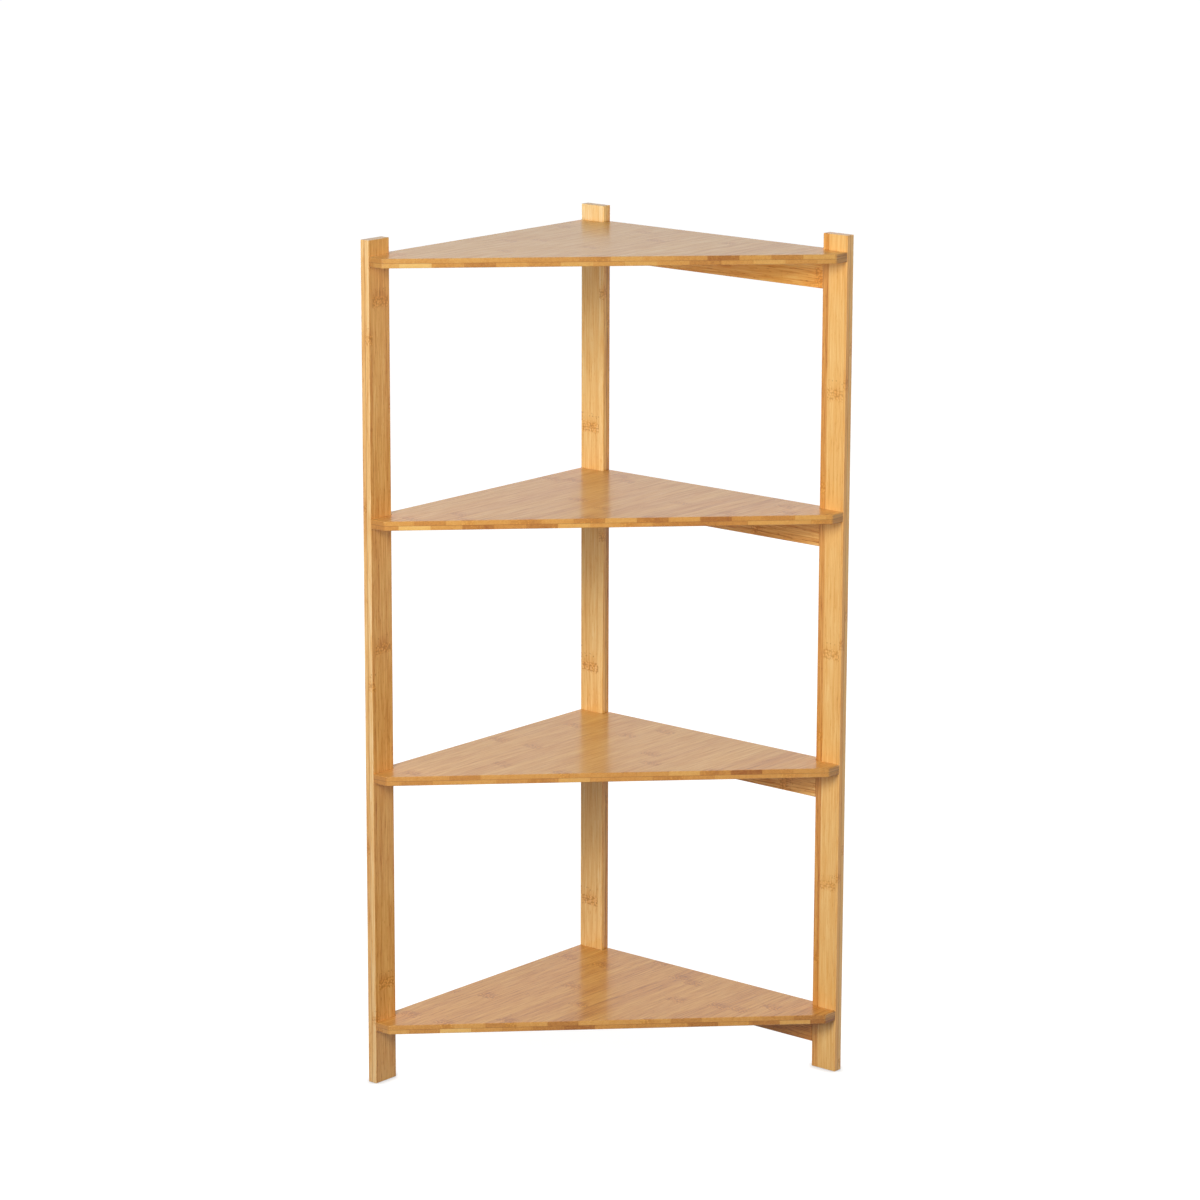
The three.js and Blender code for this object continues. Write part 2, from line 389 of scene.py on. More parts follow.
def strip_group():
    """Colour and height of a bamboo strip at a point, and its finest fibres.

    The seed moves a strip to its own part of the pattern. Fibres are pushed sideways by a slow noise,
    and by a swirl near a knuckle. The shade is the tone, plus the fibres times liveliness, plus the
    knuckle's hearts less its stain times boldness, and a row of wood colours is read at it. Gold tints
    the band of cells, and brown covers the walls and dots. Height rises with the finest fibres and
    sinks at dashes and dots.
    """
    tree = bpy.data.node_groups.new("bamboo strip", "ShaderNodeTree")
    for name in STRIP_INPUTS:
        tree.interface.new_socket(name, in_out="INPUT", socket_type="NodeSocketFloat")
    for name, kind in STRIP_OUTPUTS.items():
        tree.interface.new_socket(name, in_out="OUTPUT", socket_type=kind)
    web = Web(tree)
    given = tree.nodes.new("NodeGroupInput").outputs
    along, across, through, seed, tone, to_knuckle, share, boldness, liveliness = given[:len(STRIP_INPUTS)]
    offset = web.sum("MULTIPLY", seed, SEED_STEP)
    along = web.sum("ADD", along, offset)
    moved = web.sum("ADD", across, offset)

    near = web.fade(web.sum("ABSOLUTE", to_knuckle), 0, SWIRL_REACH, 1, 0)
    swirl = web.sum("SUBTRACT", stretched(web, along, across, through, SWIRL), 0.5)
    wander = web.sum("SUBTRACT", stretched(web, along, across, through, WANDER), 0.5)
    pushed = web.sum("MULTIPLY_ADD", web.sum("MULTIPLY", swirl, near), SWIRL_PUSH, moved)
    pushed = web.sum("MULTIPLY_ADD", wander, WANDER_PUSH, pushed)
    fibres, fine, dash = fibre_pattern(web, along, pushed, across, through)
    shade = web.sum("MULTIPLY_ADD", fibres, liveliness, tone)

    cell_band, dot_band, stain = bent_bands(web, along, across, through, to_knuckle, share)
    bundles = web.sum("MULTIPLY_ADD", swirl, BUNDLE_PUSH, moved)
    hearts, brown = knuckle_cells(web, along, bundles, through, cell_band, dot_band)
    lighter = web.sum("MULTIPLY_ADD", stain, -STAIN_DEPTH, web.sum("MULTIPLY", hearts, HEART_LIGHT))
    shade = web.sum("MULTIPLY_ADD", lighter, boldness, shade)
    brown = web.sum("MULTIPLY", brown, boldness)

    colour = web.ramp(shade, WOOD_SHADES)
    gold = web.sum("MULTIPLY", web.sum("MULTIPLY", cell_band, boldness), GOLD_SHARE)
    colour = web.mix(gold, colour, (*KNUCKLE_GOLD, 1))
    colour = web.mix(web.sum("MULTIPLY", brown, BROWN_SHARE), colour, (*KNUCKLE_BROWN, 1))
    height = web.sum("MULTIPLY_ADD", dash, -DASH_SINKS, web.sum("MULTIPLY", fine, FIBRE_RISE))
    height = web.sum("MULTIPLY_ADD", brown, -BROWN_SINKS, height)
    results = tree.nodes.new("NodeGroupOutput").inputs
    for i, socket in enumerate((colour, height, fine)):
        tree.links.new(socket, results[i])
    return tree


STRIP = strip_group()
print("nodes in the strip group:", len(STRIP.nodes))

# %% [markdown]
# ## Two layers of strips
#
# A pressed board is two layers of strips, glued edge to edge. Each strip has a tone of its own, and
# its own knuckles. A switch for each strip would make a long web, so a row of colour stops, one for
# each strip, holds these facts: red is the tone, green says where the knuckles lie, and blue is a
# number that sets this strip's fibres apart. The strips that stand out on the real board are written
# down, and a seeded draw fills the rest.

# %% Rows of strips
STRIP_WIDTH = 22.5
LAYERS = 2
STRIPS_PER_ROW = 17
TONE_SPREAD = 0.045
TONE_STEP = 0.25


class Layer:
    """One layer of strips: the place of a joint between two strips, and the strips that stand out.

    Strips count up from that joint. Each marked strip gives its tone, from -1 dark to 1 light, and
    where one of its knuckles lies in millimetres, or None.
    """

    def __init__(self, joint, marked=None):
        self.joint = joint
        self.marked = marked or {}


def strip_row(web, share, layer, first, pitch, evened, draw):
    """Colour stops for a layer's strips, read at a share of the row's width.

    A stop's red is a half plus the tone, and its green is the knuckle's place in pitches, less the
    whole ones. Evened turns a height into its place on a scale where knuckles are one pitch apart.
    """
    stops = []
    for i in range(STRIPS_PER_ROW):
        tone, knuckle = layer.marked.get(first + i, (None, None))
        drawn_tone, drawn_place, number = draw.normal(0, TONE_SPREAD), draw.random(), draw.random()
        tone = drawn_tone if tone is None else TONE_STEP * tone
        place = drawn_place if knuckle is None else (evened(knuckle) / pitch) % 1.0
        stops.append((i / STRIPS_PER_ROW, (0.5 + tone, place, number)))
    return web.ramp(share, stops, "CONSTANT")


def strip_facts(web, layers, across, lowest, strip, outer, pitch, evened, draw):
    """A strip's tone, knuckle place and number at a point, and how far across the strip the point is.

    The distance from a joint, counted in strips, has a whole part that picks the stop, and a fraction
    that is the share of the way across. Outer is 0 in the first layer and 1 in the second.
    """
    rows, shares = [], []
    for layer in layers:
        first = math.floor((lowest - layer.joint) / strip)
        start = layer.joint + first * strip
        counted = web.sum("DIVIDE", web.sum("SUBTRACT", across, start), strip)
        row_share = web.sum("DIVIDE", counted, STRIPS_PER_ROW)
        rows.append(strip_row(web, row_share, layer, first, pitch, evened, draw))
        shares.append(web.sum("FRACT", counted))
    facts = web.node("ShaderNodeSeparateColor", {0: web.mix(outer, *rows)}).outputs
    step = web.sum("SUBTRACT", shares[1], shares[0])
    return facts, web.sum("ADD", shares[0], web.sum("MULTIPLY", outer, step))


print("strips in a row:", STRIPS_PER_ROW, "which reach", STRIPS_PER_ROW * STRIP_WIDTH, "mm")

# %% [markdown]
# ## Where the knuckles and the glue lie
#
# Knuckles are spaced evenly, or nearly so: a cane's knuckles stand closer near its root, and one post
# shows that. The glue shows as a thin brown line wherever two strips or two layers meet. Both could be
# drawn on each board by hand, but as sums of a point's place they fit every board.

# %% Knuckle places and glue lines
GLUE_BROWN = linear(120, 66, 24)
JOINT_LINE = 0.16
JOINT_SHOWS = 0.3
LAYER_LINE = 0.45
LAYER_SHOWS = 0.6


def knuckle_distance(web, along, halfway, half, sag, pitch, place):
    """Millimetres from the nearest knuckle, less than zero below it.

    The height is evened first: height + sag (1 - ((height - halfway) / half) squared). That over the
    pitch, less the knuckle's place, is rounded, and what the rounding leaves is times the pitch.
    """
    off_centre = web.sum("DIVIDE", web.sum("SUBTRACT", along, halfway), half)
    lowered = web.sum("SUBTRACT", 1.0, web.sum("MULTIPLY", off_centre, off_centre))
    height = web.sum("MULTIPLY_ADD", lowered, sag, along)
    passed = web.sum("SUBTRACT", web.sum("DIVIDE", height, pitch), place)
    nearest = web.sum("SUBTRACT", passed, web.sum("ROUND", passed))
    return web.sum("MULTIPLY", nearest, pitch)


def glue_lines(web, share, strip, depth, thickness):
    """How much glue shows: its share on a joint or between the layers, fading out over a line's width."""
    to_joint = web.sum("MULTIPLY", web.sum("MINIMUM", share, web.sum("SUBTRACT", 1.0, share)), strip)
    to_layer = web.sum("ABSOLUTE", web.sum("SUBTRACT", depth, thickness))
    joint = web.fade(to_joint, 0, JOINT_LINE, JOINT_SHOWS, 0)
    between = web.fade(to_layer, 0, LAYER_LINE, LAYER_SHOWS, 0)
    return web.sum("MAXIMUM", joint, between)


print("glue line between strips in mm:", 2 * JOINT_LINE, "and between layers:", 2 * LAYER_LINE)

# %% [markdown]
# ## The finish of one board
#
# Boards differ. One is paler, another shows its knuckles more, and a sawn edge isn't the colour of a
# wide face. A look holds what sets a board apart, and some painted light and shade as well: faces off
# the wide ones, and the top end of a post, are made lighter or darker for how they are lit. Clear
# lacquer lies over all of them. It could be mixed into the wood's own shine, but a coat is a layer of
# its own here as well: smooth, over wood that stays rough and keeps its fine relief.

# %% Looks and lacquer
LACQUER = {"weight": 0.46, "roughness": 0.18, "ior": 1.5}
WOOD_SHINE = {"ior": 1.5, "level": 0.25, "roughness": (0.52, 0.4)}
RELIEF = (0.5, 0.06 * MM)
GRAIN_RANGE = (0.3, 0.7)


class Look:
    """How a board differs from the next.

    Tone is where it sits on the row of wood colours, and side tone is added off the wide faces. Face
    contrast says how far its strips differ there. Knuckles and fibres say how clearly these show. Hue
    multiplies the red, green and blue of the wide faces, and side hue those of the others. Side tone,
    hue and side hue are partly the wood's own colour and partly painted light and shade, for how each
    face is lit. A top tone is added on the board's last stretch as a painted highlight, where the top
    end catches more light. Strip is how wide its strips are, and coat how thick its lacquer looks.
    Sag is how many millimetres lower the knuckles halfway up the board lie than if they were evenly
    spaced.
    """

    def __init__(self, tone, side_tone_and_light, face_contrast=1.0, knuckles=1.0, fibres=1.0, hue=(1, 1, 1),
                 side_hue_and_light=(1, 1, 1), painted_top_light=0.0, strip=STRIP_WIDTH, coat=LACQUER["weight"], sag=0.0):
        self.tone = tone
        self.side_tone_and_light = side_tone_and_light
        self.face_contrast = face_contrast
        self.knuckles = knuckles
        self.fibres = fibres
        self.hue = hue
        self.side_hue_and_light = side_hue_and_light
        self.painted_top_light = painted_top_light
        self.strip = strip
        self.coat = coat
        self.sag = sag


def lacquered(web, colour, height, grain, coat):
    """Wood under clear lacquer. The wood's roughness falls in a straight line as its grain rises."""
    return web.node("ShaderNodeBsdfPrincipled", {
        "Base Color": colour,
        "Roughness": web.line(grain, *GRAIN_RANGE, *WOOD_SHINE["roughness"]),
        "IOR": WOOD_SHINE["ior"],
        "Specular IOR Level": WOOD_SHINE["level"],
        "Normal": web.bump(height, *RELIEF),
        "Coat Weight": coat,
        "Coat Roughness": LACQUER["roughness"],
        "Coat IOR": LACQUER["ior"],
    })


print("lacquer:", LACQUER)

# %% The board finish
FACES_THAT_WAY = (0.75, 0.95)
SLANTS_TO_END = (0.4, 0.65)
SIDE_KNUCKLES = 0.7
CUT_LIVELINESS = 0.4
# Painted highlight on a board's top stretch: in mm below the top end, where it starts and where it is
# full.
TOP_LIGHT_STRETCH = (19.0, 14.0)
END_GRAIN = linear(236, 228, 218)


def board_finish(name, box, axes, layers, pitch, seed, look):
    """A material for a board whose fibres run along axes[0], with strips side by side along axes[1].

    Wide is 1 on the two wide faces and end is 1 on the sawn ends, by which way the surface faces. A
    strip's tone shows fully off the wide faces, and by the look's face contrast on them. The look's
    side tone is added off the wide faces, and knuckles are fainter there; it is partly the faces' own
    colour and partly painted light and shade. The look's top tone is added over the last millimetres of
    the length, as a painted highlight. Glue lines lie over the look's hues, which are partly painted
    light and shade too, and sawn ends are darker.
    """
    material, web = new_finish(name)
    draw = np.random.default_rng(seed)
    low, high = box
    spread = [web.sum("DIVIDE", part, MM) for part in web.parts(object_place(web))]
    along, across, through = (spread[axis] for axis in axes)
    bottom, lowest, inner = (low[axis] / MM for axis in axes)
    top = high[axes[0]] / MM
    halfway = (bottom + top) / 2
    thickness = (high[axes[2]] - low[axes[2]]) / MM / LAYERS
    depth = web.sum("SUBTRACT", through, inner)
    outer = web.sum("GREATER_THAN", depth, thickness)

    def evened(height):
        """height + sag (1 - ((height - halfway) / half the length) squared)"""
        return height + look.sag * (1 - ((height - halfway) / (top - halfway)) ** 2)

    facts, share = strip_facts(web, layers, across, lowest, look.strip, outer, pitch, evened, draw)
    to_knuckle = knuckle_distance(web, along, halfway, top - halfway, look.sag, pitch, facts[1])
    facing = web.parts(web.node("ShaderNodeNewGeometry", {}).outputs["Normal"])
    lengthways, facewards = (web.sum("ABSOLUTE", facing[axis]) for axis in axes[::2])
    end, wide = web.fade(lengthways, *FACES_THAT_WAY), web.fade(facewards, *FACES_THAT_WAY)
    liveliness = web.fade(lengthways, *SLANTS_TO_END, look.fibres, look.fibres * CUT_LIVELINESS)
    boldness = web.line(wide, 0, 1, look.knuckles * SIDE_KNUCKLES, look.knuckles)
    contrast = web.line(wide, 0, 1, 1.0, look.face_contrast)
    tone = web.sum("MULTIPLY_ADD", web.sum("SUBTRACT", facts[0], 0.5), contrast, look.tone)
    # Painted light and shade, partly the faces' own colour: the side tone lightens or darkens every face
    # that isn't wide.
    tone = web.sum("MULTIPLY_ADD", web.sum("SUBTRACT", 1.0, wide), look.side_tone_and_light, tone)
    # Painted highlight: the board's top stretch is made lighter, as if it caught more light.
    top_light_from, top_light_to = (top - stretch for stretch in TOP_LIGHT_STRETCH)
    tone = web.sum("ADD", tone, web.fade(along, top_light_from, top_light_to, 0, look.painted_top_light))

    wood = web.node("ShaderNodeGroup", {}, node_tree=STRIP)
    inputs = (along, across, through, facts[2], tone, to_knuckle, share, boldness, liveliness)
    for i, socket in enumerate(inputs):
        web.tree.links.new(socket, wood.inputs[i])
    # Painted light and shade, partly the wood's own tint: the hues tint the wide faces and the others for
    # how each is lit.
    hue = web.mix(wide, (*look.side_hue_and_light, 1), (*look.hue, 1))
    colour = web.mix(1.0, wood.outputs["Colour"], hue, "MULTIPLY")
    glue = glue_lines(web, share, look.strip, depth, thickness)
    colour = web.mix(glue, colour, (*GLUE_BROWN, 1))
    colour = web.mix(end, colour, web.mix(1.0, colour, (*END_GRAIN, 1), "MULTIPLY"))
    web.deliver(lacquered(web, colour, wood.outputs["Height"], wood.outputs["Grain"], look.coat))
    return material


print("knuckles off the wide faces show at", SIDE_KNUCKLES, "of their strength")

# %% [markdown]
# ## Rounded outlines and skins
#
# Every board is an outline carried along a straight path, with its corners rounded and its ends
# eased. A Bevel modifier could round the edges, but it would round each notch of a shelf alike, and
# here every corner has a radius of its own. So the outline is a polygon whose corners are arcs. Easing
# pulls it inward a little at each end, along a quarter circle, and the rings that this gives are
# joined into one closed skin.


# %% Outlines
def rounded_outline(corners, steps):
    """Points round a polygon, counterclockwise, as an array.

    Each corner is (x, y, radius). Its arc is centred on the corner's bisector, one radius from both
    sides, and sweeps from the first touching point to the second.
    """
    spots = np.array([c[:2] for c in corners], float)
    radii = np.array([c[2] for c in corners])
    before = np.roll(spots, 1, axis=0) - spots
    after = np.roll(spots, -1, axis=0) - spots
    before /= np.linalg.norm(before, axis=1)[:, None]
    after /= np.linalg.norm(after, axis=1)[:, None]
    half = np.arccos(np.clip((before * after).sum(1), -1, 1)) / 2
    bisector = before + after
    bisector /= np.linalg.norm(bisector, axis=1)[:, None]
    centres = spots + bisector * (radii / np.sin(half))[:, None]
    starts = spots + before * (radii / np.tan(half))[:, None] - centres
    turning = np.sign(after[:, 0] * before[:, 1] - after[:, 1] * before[:, 0])
    sweep = (turning * (math.pi - 2 * half))[:, None] * np.linspace(0, 1, steps + 1)
    x = starts[:, :1] * np.cos(sweep) - starts[:, 1:] * np.sin(sweep)
    y = starts[:, :1] * np.sin(sweep) + starts[:, 1:] * np.cos(sweep)
    return (centres[:, None] + np.stack([x, y], axis=2)).reshape(-1, 2)


def inward(outline):
    """For each point, the step that moves both of its sides inward by one unit.

    It is the sum of the two sides' inward normals, over one plus their dot product.
    """
    side = np.roll(outline, -1, axis=0) - outline
    side /= np.linalg.norm(side, axis=1)[:, None]
    normal = np.stack([-side[:, 1], side[:, 0]], axis=1)
    last = np.roll(normal, 1, axis=0)
    return (normal + last) / (1 + (normal * last).sum(1))[:, None]


def eased_rings(outline, length, ease, steps):
    """Rings of (x, y, z) that carry the outline from z = 0 to z = length.

    Near both ends they are drawn in along a quarter circle: at an angle, by ease (1 - sine), at
    ease (1 - cosine) from the end.
    """
    angle = np.linspace(0, math.pi / 2, steps + 1)
    inset = ease * (1 - np.sin(angle))
    rise = ease * (1 - np.cos(angle))
    insets = np.concatenate([inset, inset[::-1]])
    heights = np.concatenate([rise, length - rise[::-1]])
    flat = outline[None] + insets[:, None, None] * inward(outline)[None]
    upright = np.broadcast_to(heights[:, None, None], (len(heights), len(outline), 1))
    return np.concatenate([flat, upright], axis=2)


square = rounded_outline([(0, 0, 0.1), (1, 0, 0.1), (1, 1, 0.1), (0, 1, 0.1)], 4)
print("points round a test square:", len(square), "step inward:", np.round(inward(square)[0], 3))


# %% Skins
def skin(name, rings):
    """One closed mesh object from rings of points, all with the same count, that climb along +Z.

    Neighbouring rings are joined by four-sided faces, and one flat face closes each end.
    """
    count, around = rings.shape[:2]
    mesh = bpy.data.meshes.new(name)
    column = np.arange(around)
    beside = (column + 1) % around
    row = np.arange(count - 1)[:, None] * around
    faces = np.stack([row + column, row + beside, row + around + beside, row + around + column], axis=2)
    ends = [column[::-1].tolist(), (column + (count - 1) * around).tolist()]
    mesh.from_pydata(rings.reshape(-1, 3).tolist(), [], faces.reshape(-1, 4).tolist() + ends)
    mesh.shade_smooth()
    piece = bpy.data.objects.new(name, mesh)
    scene.collection.objects.link(piece)
    return piece


def turned_rings(profile, sides):
    """Rings of a turned shape about Z, from rows of (radius, z) that climb."""
    angle = np.linspace(0, 2 * math.pi, sides, endpoint=False)
    radius, z = np.array(profile, float).T
    rings = np.empty((len(radius), sides, 3))
    rings[..., 0] = radius[:, None] * np.cos(angle)
    rings[..., 1] = radius[:, None] * np.sin(angle)
    rings[..., 2] = z[:, None]
    return rings


def set_down(points, order, origin):
    """Points whose own x, y and z run along the axes in order, moved to origin."""
    placed = np.empty_like(points)
    for own, axis in enumerate(order):
        placed[..., axis] = points[..., own] + origin[axis]
    return placed


print("rings and points of a test cone:", turned_rings([(1, 0), (0.5, 2)], 8).shape[:2])

# %% [markdown]
# ## Holes
#
# The boards are drilled for hidden dowels and countersunk for screws from the wall side. A drilled
# board could be modelled round its holes, but a cut is closer to how it is made: all drills of a board
# are one cutting mesh, and a Boolean takes it away. Afterwards face-weighted normals keep the large
# flats flat, right up to their softened edges.

# %% Where fasteners lie
HEAD_RIM = 0.4 * MM
SHANK_RADIUS = 1.75 * MM


def fastener(node):
    """A fastener's lowest and highest corner, the axis of its length, its radius and its length."""
    low, high = (np.array(corner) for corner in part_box(node))
    size = high - low
    axis = int(size.argmax())
    return low, high, axis, float(np.delete(size, axis).max() / 2), float(size[axis])


def axis_order(axis):
    """A cyclic order of axes that puts a turned shape's own Z on the given axis."""
    return ((axis + 1) % 3, (axis + 2) % 3, axis)


def screw_frame(node):
    """A screw's head point, axis order, radius and length, and whether its head is on the left wall.

    A screw in the left wall is driven towards the greater end of its axis, and any other towards the
    smaller one.
    """
    low, high, axis, radius, length = fastener(node)
    to_left_wall = "_left_" in node
    middle = (low + high) / 2
    middle[axis] = low[axis] if to_left_wall else high[axis]
    return middle, axis_order(axis), radius, length, to_left_wall


def facing_out(rings, to_left_wall):
    """Rings of a shape whose head is at z = 0 and whose point is below: turned over for the left wall."""
    if not to_left_wall:
        return rings
    over = rings[::-1].copy()
    over[..., 2] *= -1
    return over


def names_with(*words):
    """The names of all nodes that hold every one of the words, in order."""
    return [node for node in sorted(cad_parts) if all(word in node for word in words)]


print("screws:", len(names_with("_screw_")), "dowels:", len(names_with("_dowel_")))

# %% Drills
SCREW_CLEARANCE = 0.3 * MM
DOWEL_CLEARANCE = 0.3 * MM
DRILL_SIDES = 40
DRILL_OVERRUN = 2 * MM
DRILL_END_ROOM = 1 * MM


def screw_drill(node):
    """Rings of a countersunk hole: the shank's radius, a cone at 45 degrees, then the head's radius."""
    middle, order, radius, length, to_left_wall = screw_frame(node)
    wide = radius + SCREW_CLEARANCE
    narrow = SHANK_RADIUS + SCREW_CLEARANCE
    profile = [
        (narrow, -length - DRILL_END_ROOM),
        (narrow, -HEAD_RIM - radius + SHANK_RADIUS),
        (wide, -HEAD_RIM),
        (wide, DRILL_OVERRUN),
    ]
    return set_down(facing_out(turned_rings(profile, DRILL_SIDES), to_left_wall), order, middle)


def dowel_drill(node):
    """Rings of a dowel's hole: straight, with a cone at 45 degrees at both ends."""
    low, high, axis, radius, length = fastener(node)
    half = length / 2 + DRILL_END_ROOM
    wide = radius + DOWEL_CLEARANCE
    narrow = wide - DRILL_END_ROOM
    straight = half - DRILL_END_ROOM
    profile = [(narrow, -half), (wide, -straight), (wide, straight), (narrow, half)]
    return set_down(turned_rings(profile, DRILL_SIDES), axis_order(axis), (low + high) / 2)


print("a screw's hole is wider than its shank by, in mm:", 2 * SCREW_CLEARANCE / MM)

# %% Drilling and dressing
SHARP_ANGLE = math.radians(32)


def drill(piece, drills):
    """Takes the drills away from the piece's mesh."""
    cutters = [skin(f"drill_{i}", rings) for i, rings in enumerate(drills)]
    with bpy.context.temp_override(active_object=cutters[0], selected_editable_objects=cutters):
        bpy.ops.object.join()
    cut = piece.modifiers.new("drilling", "BOOLEAN")
    cut.operation = "DIFFERENCE"
    cut.solver = "EXACT"
    cut.object = cutters[0]
    bpy.context.view_layer.update()
    drilled = bpy.data.meshes.new_from_object(piece.evaluated_get(bpy.context.evaluated_depsgraph_get()))
    piece.modifiers.clear()
    piece.data = drilled
    bpy.data.objects.remove(cutters[0])


def soften(piece):
    """Marks true corners as sharp and lets large faces rule the shading of the softened edges."""
    piece.data.set_sharp_from_angle(angle=SHARP_ANGLE)
    weighted = piece.modifiers.new("flat faces", "WEIGHTED_NORMAL")
    weighted.mode = "FACE_AREA"
    weighted.keep_sharp = True


def dress(piece, node, finish):
    """Gives a board its finish and soft edges, and lets it stand for its node."""
    piece.data.materials.clear()
    piece.data.materials.append(finish)
    soften(piece)
    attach(piece, "root")
    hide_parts(node)
    print(piece.name, "faces:", len(piece.data.polygons))


print("a corner is sharp from, in degrees:", round(math.degrees(SHARP_ANGLE)))

# %% [markdown]
# ## Posts
#
# A post is a flat board on its end. Its long edges have a small sanded radius, which catches the light
# as a thin bright line, and its ends are eased. A cube with a Bevel modifier could be a post too, but
# the shelves need rounded outlines anyway, so a post is one as well: a rectangle, carried upwards.

# %% Bars
ARRIS_RADIUS = 0.6 * MM
ARRIS_STEPS = 6
END_EASE = 0.5 * MM
EASE_STEPS = 4
FIBRE_SEEDS = {"post": 11, "rail": 31, "shelf": 51}


def bar(name, node, order):
    """A bar with rounded long edges and eased ends that fills its node's box, long on order[2]."""
    low, high = (np.array(corner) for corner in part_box(node))
    width, depth, length = (high - low)[list(order)]
    corners = [(0, 0), (width, 0), (width, depth), (0, depth)]
    outline = rounded_outline([(x, y, ARRIS_RADIUS) for x, y in corners], ARRIS_STEPS)
    return skin(name, set_down(eased_rings(outline, length, END_EASE, EASE_STEPS), order, low))


print("points round a bar:", 4 * (ARRIS_STEPS + 1), "rings along it:", 2 * (EASE_STEPS + 1))

# %% Post boards
# Each post has its layer on the room side and its layer on the wall side.
POST_LAYERS = {
    "back": (Layer(-149.6, {-1: (-0.05, 636), 0: (0.3, 520)}), Layer(-152.0, {0: (-0.4, 490)})),
    "right": (Layer(148.75, {-1: (-0.95, 613), 0: (0.2, 709), 1: (-0.15, 721)}),
              Layer(160.0, {0: (0.5, 755)})),
    "left": (Layer(-146.3, {-1: (-0.45, 808), 0: (-0.6, 700), -2: (-0.65, 771)}),
             Layer(-160.0, {-1: (-1.2, 600)})),
}
# Each post's side tone and side hue are partly its narrow faces' own colour and partly painted light and
# shade, and its top stretch is lightened as a painted highlight.
POST_LOOKS = {
    "back": Look(0.64, -0.29, knuckles=0.9, fibres=1.15, side_hue_and_light=(1.08, 1.12, 1.05), painted_top_light=0.2),
    "right": Look(0.51, 0.07, knuckles=0.65, fibres=0.9, side_hue_and_light=(1.18, 1.05, 0.95), painted_top_light=0.06,
                  strip=20.0, sag=33.0),
    "left": Look(0.52, 0.24, knuckles=0.95, fibres=1.15, side_hue_and_light=(0.97, 1.0, 1.2), painted_top_light=0.04),
}
KNUCKLE_PITCH = {"back": 258.7, "right": 253.9, "left": 352.0}

for i, post in enumerate(POSTS):
    node = f"{post}_post"
    across, through = (1, 0) if post == "left" else (0, 1)
    piece = bar(f"{post}_post_board", node, (0, 1, 2))
    drills = [screw_drill(n) for n in names_with(f"_shelf_{post}_screw")]
    drills += [dowel_drill(n) for n in names_with(f"_rail_{post}_dowel")]
    drill(piece, drills)
    layers = POST_LAYERS[post]
    if post == "left":
        layers = layers[::-1]
    finish = board_finish(f"{post} post bamboo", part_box(node), (2, across, through), layers,
                          KNUCKLE_PITCH[post], FIBRE_SEEDS["post"] + i, POST_LOOKS[post])
    dress(piece, node, finish)

# %% [markdown]
# ## Rails
#
# A rail is the same bar on its edge, between two posts. Two dowels in each end hold it, so each end
# is drilled twice. The same bar function makes it, turned so that its length lies along the wall.

# %% Rail boards
RAIL_PITCH = 238.0
# Partly the rails' own colour and partly painted light and shade: the top rail is lighter, the bottom rail
# darker, and both warmer, as in the shade under the shelves.
RAIL_TONES_AND_LIGHT = {"top": 0.68, "upper": 0.5, "lower": 0.52, "bottom": 0.38}
RAIL_HUES_AND_SHADE = {"top": (1.04, 0.89, 0.58), "upper": (1.03, 0.98, 0.88), "lower": (1.08, 1.08, 1.1),
             "bottom": (1.0, 0.86, 0.6)}
RAIL_LAYERS = {
    "top": (Layer(833.0, {-1: (-0.5, 138), 0: (-0.3, 60)}), Layer(829.0)),
    "upper": (Layer(561.0, {-1: (-0.45, 60), 0: (-0.5, -40)}), Layer(570.0)),
    "lower": (Layer(310.0, {-1: (-0.5, 100), 0: (-0.3, -10)}), Layer(300.0)),
    "bottom": (Layer(40.0, {-1: (-0.5, 10), 0: (-0.4, 90)}), Layer(46.0)),
}

for i, tier in enumerate(TIERS):
    node = f"{tier}_rail"
    piece = bar(f"{tier}_rail_board", node, (1, 2, 0))
    drill(piece, [dowel_drill(n) for n in names_with(f"{tier}_rail_", "_dowel_")])
    look = Look(RAIL_TONES_AND_LIGHT[tier], 0.0, face_contrast=0.8, knuckles=0.8, fibres=1.8, hue=RAIL_HUES_AND_SHADE[tier])
    finish = board_finish(f"{tier} rail bamboo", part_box(node), (0, 2, 1), RAIL_LAYERS[tier],
                          RAIL_PITCH, FIBRE_SEEDS["rail"] + i, look)
    dress(piece, node, finish)

# %% [markdown]
# ## Shelves
#
# A shelf is a triangle with its corners cut off and a notch for each post. The front edge is sawn at
# 45 degrees to the strips, so every strip of both layers shows there as a block of its own colour.
# That edge is the best place to read the real board: where each layer's strips meet, and which of
# them are dark or light, is written down here from it.

# %% Shelf outline
NOTCH_CLEARANCE = 1 * MM
NOTCH_CORNER = 0.8 * MM
TIP_WIDTH = 17.5 * MM
TIP_RADIUS = 4 * MM
TIP_HEEL_RADIUS = 1 * MM


def shelf_corners(node):
    """The shelf's corners, counterclockwise from the left end of the back notch, each with its radius."""
    low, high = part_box(node)
    back, right, left = (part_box(f"{post}_post") for post in POSTS)
    inner_x = left[1].x
    inner_y = back[0].y
    back_notch = back[1].x + NOTCH_CLEARANCE
    right_notch = right[0].x - NOTCH_CLEARANCE
    left_notch = left[1].y + NOTCH_CLEARANCE
    return [
        (low.x, inner_y, NOTCH_CORNER),
        (low.x, left_notch, NOTCH_CORNER),
        (inner_x, left_notch, NOTCH_CORNER),
        (inner_x, low.y, TIP_HEEL_RADIUS),
        (inner_x + TIP_WIDTH, low.y, TIP_RADIUS),
        (high.x, inner_y - TIP_WIDTH, TIP_RADIUS),
        (high.x, inner_y, TIP_HEEL_RADIUS),
        (right_notch, inner_y, NOTCH_CORNER),
        (right_notch, high.y, NOTCH_CORNER),
        (back_notch, high.y, NOTCH_CORNER),
        (back_notch, inner_y, NOTCH_CORNER),
    ]


print("corners of a shelf:", len(shelf_corners("top_shelf")))

